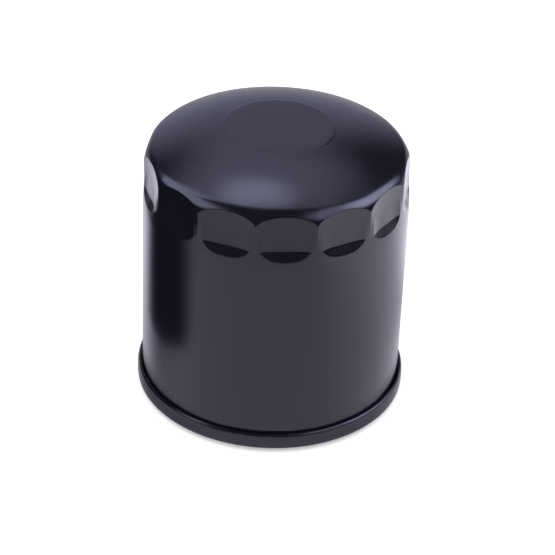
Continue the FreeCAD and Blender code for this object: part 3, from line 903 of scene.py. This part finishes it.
# Soft boxes as the paint mirrors them: azimuth from the front towards the right, elevation,
# half-width of the bright core and of the soft edge, all in degrees, then radiance.
SKY_TINT = (0.93, 0.93, 1.36, 1.0)
SOFT_BOXES = (
    ("top", -150.0, 75.0, 3.0, 17.0, 2.3),
    ("top_wide", -168.0, 70.0, 10.0, 40.0, 1.05),
    ("left", -84.0, 36.0, 23.0, 37.0, 2.6),
    ("right", 58.0, 41.0, 16.0, 38.0, 1.8),
    ("right_low", 97.0, 28.0, 10.0, 31.0, 4.0),
    ("back", -172.0, 13.0, 8.0, 37.0, 0.58),
)
ROOM = 0.02
DAYLIGHT = 1.3
# Unlit parts of the room, as spans of the mirrored direction's components. One is in front,
# centred left of the middle by the number between its spans. The other is low, but for the back.
UNLIT_FRONT = ((0.14, 0.05), 0.13, (0.62, 0.38))
UNLIT_LOW = ((0.28, 0.19), (0.5, 0.3))

CAMERA_LENS = 139.6
CAMERA_DISTANCE = 0.6267
CAMERA_ELEVATION = 32.80
CAMERA_AZIMUTH = 0.05
CAMERA_ROLL = 2.31
CAMERA_TARGET_HEIGHT = 0.0394
CAMERA_AIM_RIGHT = 0.00110
CAMERA_AIM_DOWN = 0.00454


def add_card(name, corners, material):
    """One plain rectangle that dresses the stage."""
    mesh = bpy.data.meshes.new(name)
    mesh.from_pydata(corners, [], [(0, 1, 2, 3)])
    mesh.materials.append(material)
    card = bpy.data.objects.new(name, mesh)
    bpy.context.scene.collection.objects.link(card)
    return card


def painted_glow_strength(n, place):
    """Strength of the floor's painted glow in the paint: a painted reflection of lit floor, with painted
    shade beside the seam and behind, and painted light to the right and back.
    """
    x, y, _ = n.axes(place)
    apart = n.add("ShaderNodeVectorMath", operation="LENGTH")
    n.link(place, apart.inputs[0])
    apart = apart.outputs["Value"]
    near, sides, size = SEAM_SHADE
    seam = n.product(n.step(apart, *near), n.step(n.math("ABSOLUTE", x), *sides), -size)
    way, span, size = RIGHT_GAIN
    right = n.product(n.step(n.dot(place, way), *span), size)
    span, size = FAR_RIGHT_GAIN
    far_right = n.product(n.step(x, *span), size)
    span, size = BACK_GAIN
    back = n.product(n.step(y, *span), size)
    across, along, out, size = RIGHT_BACK_SHADE
    right_back = n.product(n.step(x, *across), n.step(y, *along), n.step(apart, *out), size)
    way, span, along, out, size = LEFT_BACK_SHADE
    left_back = n.product(n.step(n.dot(place, way), *span), n.step(y, *along), n.step(apart, *out), size)
    span, size = FAR_BACK
    far_back = n.product(n.step(y, *span), size)
    lit = n.product(n.step(apart, *PAINTED_GLOW_REACH[::-1]), n.sum(1.0, seam, far_right, right), n.sum(1.0, back),
                    n.without(right_back))
    return n.product(n.math("MAXIMUM", lit, far_back), n.without(left_back))


def make_floor():
    """A plain pale floor. Polished paint mirrors a painted glow instead of it: a patch of painted light near
    the filter, with painted shade beside the seam, and dark beyond.
    """
    material = bpy.data.materials.new("pale_floor_painted_glow")
    n = Nodes(material)
    ray = n.add("ShaderNodeLightPath")
    place = n.place()
    # Only glossy rays see this emission: painted light that stands in for a lit floor, with the painted
    # shade and light above.
    mirrored = n.glow("ShaderNodeEmission", PAINTED_GLOW_TINT, n.math("MAXIMUM", painted_glow_strength(n, place), PAINTED_GLOW_MINIMUM))
    matt = n.add("ShaderNodeBsdfDiffuse")
    n.link(n.mix(n.noise(place, 3.0), *FLOOR_PALE), matt.inputs["Color"])
    bright = n.add("ShaderNodeEmission")
    n.link(n.product(ray.outputs["Is Camera Ray"], CAMERA_GLOW), bright.inputs["Strength"])
    plain = n.add("ShaderNodeAddShader")
    n.link(matt.outputs[0], plain.inputs[0])
    n.link(bright.outputs[0], plain.inputs[1])
    n.show(n.blended(ray.outputs["Is Glossy Ray"], plain, mirrored))
    reach = FLOOR_REACH
    corners = [(-reach, -reach, 0), (reach, -reach, 0), (reach, reach, 0), (-reach, reach, 0)]
    add_card("floor", corners, material)


def make_flag():
    """A black card beside the filter. Only polished paint sees it, as the dark stripe down its left."""
    left, front, back, top = FLAG
    front_fade, back_fade, foot_fade = FLAG_FADES
    material = bpy.data.materials.new("black_card")
    n = Nodes(material)
    _, y, z = n.axes(n.place())
    inside = n.product(n.step(y, front, front + front_fade), n.step(y, back, back - back_fade),
                       n.step(z, 0.0, foot_fade))
    matt = n.add("ShaderNodeBsdfDiffuse")
    n.link(FLAG_COLOUR, matt.inputs["Color"])
    n.show(n.blended(inside, n.add("ShaderNodeBsdfTransparent"), matt))
    corners = [(left, front, 0), (left, back, 0), (left, back, top), (left, front, top)]
    flag = add_card("flag", corners, material)
    flag.visible_camera = False
    flag.visible_diffuse = False
    flag.visible_shadow = False


def direction(azimuth, elevation):
    a, e = math.radians(azimuth), math.radians(elevation)
    return (math.sin(a) * math.cos(e), -math.cos(a) * math.cos(e), math.sin(e))


def make_world():
    """White all round for the camera and for matt surfaces; soft boxes in the dark for polished ones."""
    world = bpy.data.worlds.new("studio")
    bpy.context.scene.world = world
    n = Nodes(world)
    ray = n.add("ShaderNodeLightPath")
    way = n.add("ShaderNodeTexCoord").outputs["Generated"]
    boxes = []
    for _, azimuth, elevation, core, edge, radiance in SOFT_BOXES:
        cosine = n.dot(way, direction(azimuth, elevation))
        glow = n.step(cosine, math.cos(math.radians(edge)), math.cos(math.radians(core)))
        boxes.append(n.product(glow, radiance))
    x, y, z = n.axes(way)
    along, left, across = UNLIT_FRONT
    front = n.product(n.step(y, *along), n.step(n.math("ABSOLUTE", n.sum(x, left)), *across))
    rise, along = UNLIT_LOW
    low = n.product(n.step(z, *rise), n.step(y, *along))
    lit = n.sum(n.product(n.sum(*boxes), n.without(front), n.without(low)), ROOM)
    mirrored = n.glow("ShaderNodeBackground", SKY_TINT, lit)
    plain = n.glow("ShaderNodeBackground", (1.0, 1.0, 1.0, 1.0), DAYLIGHT)
    n.show(n.blended(ray.outputs["Is Glossy Ray"], plain, mirrored), "ShaderNodeOutputWorld")


def make_camera():
    """The photo's viewpoint: in front, about 33 degrees up, and leaning a little."""
    data = bpy.data.cameras.new("camera")
    data.lens = CAMERA_LENS
    data.sensor_width = 36.0
    data.clip_end = 60.0
    camera = bpy.data.objects.new("camera", data)
    bpy.context.scene.collection.objects.link(camera)
    back = Vector(direction(CAMERA_AZIMUTH, CAMERA_ELEVATION))
    target = Vector((0, 0, CAMERA_TARGET_HEIGHT))
    camera.location = target + back * CAMERA_DISTANCE
    lean = Quaternion(back, math.radians(CAMERA_ROLL))
    level = (-back).to_track_quat("-Z", "Y")
    right = lean @ (level @ Vector((1, 0, 0)))
    up = lean @ (level @ Vector((0, 1, 0)))
    aim = target + right * CAMERA_AIM_RIGHT - up * CAMERA_AIM_DOWN
    look = (aim - camera.location).normalized()
    camera.rotation_mode = "QUATERNION"
    camera.rotation_quaternion = Quaternion(look, -math.radians(CAMERA_ROLL)) @ look.to_track_quat("-Z", "Y")
    bpy.context.scene.camera = camera


make_can()
make_seaming_lid()
make_seam_sealant()
make_outer_gasket()
make_tapping_plate()
make_anti_drain_valve()
make_end_cap("lower_cap", "lower_end_cap", LOWER_CAP_HOLE, ELEMENT_BOTTOM, 1)
make_end_cap("upper_cap", "upper_end_cap", UPPER_CAP_HOLE, ELEMENT_TOP, -1)
make_potting("lower_potting", 1)
make_potting("upper_potting", -1)
make_filter_media()
make_springs()
finish_cad_nodes()
make_floor()
make_flag()
make_world()
make_camera()
bpy.context.scene.view_settings.view_transform = "Standard"
bpy.context.view_layer.update()
